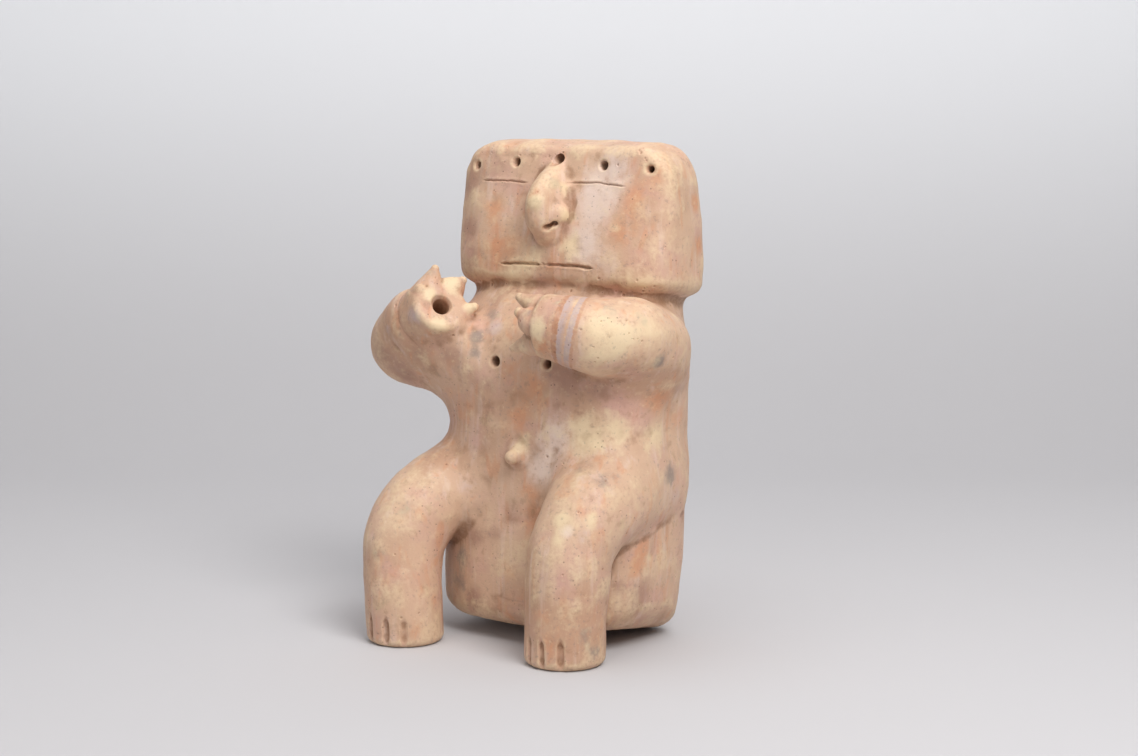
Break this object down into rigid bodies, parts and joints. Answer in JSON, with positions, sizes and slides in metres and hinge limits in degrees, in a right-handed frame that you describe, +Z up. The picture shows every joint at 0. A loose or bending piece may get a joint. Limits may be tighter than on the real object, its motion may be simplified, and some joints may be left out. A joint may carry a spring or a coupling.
{
  "type": "seated slab figure",
  "caption": "Seated fired-clay slab figure with a wide flat-topped head, one arm raised and one across the chest; stands on its feet and seat as a display ornament.",
  "frame": {"origin": "on the ground under the middle of the figure's bounding box", "axes": "+Z up, the figure faces -Y, its own left side is +X"},
  "size_m": [0.215, 0.1472, 0.2985],
  "materials": {
    "terracotta": "matte"
  },
  "bodies": {
    "root": {"figure": "terracotta"}
  },
  "joints": []
}
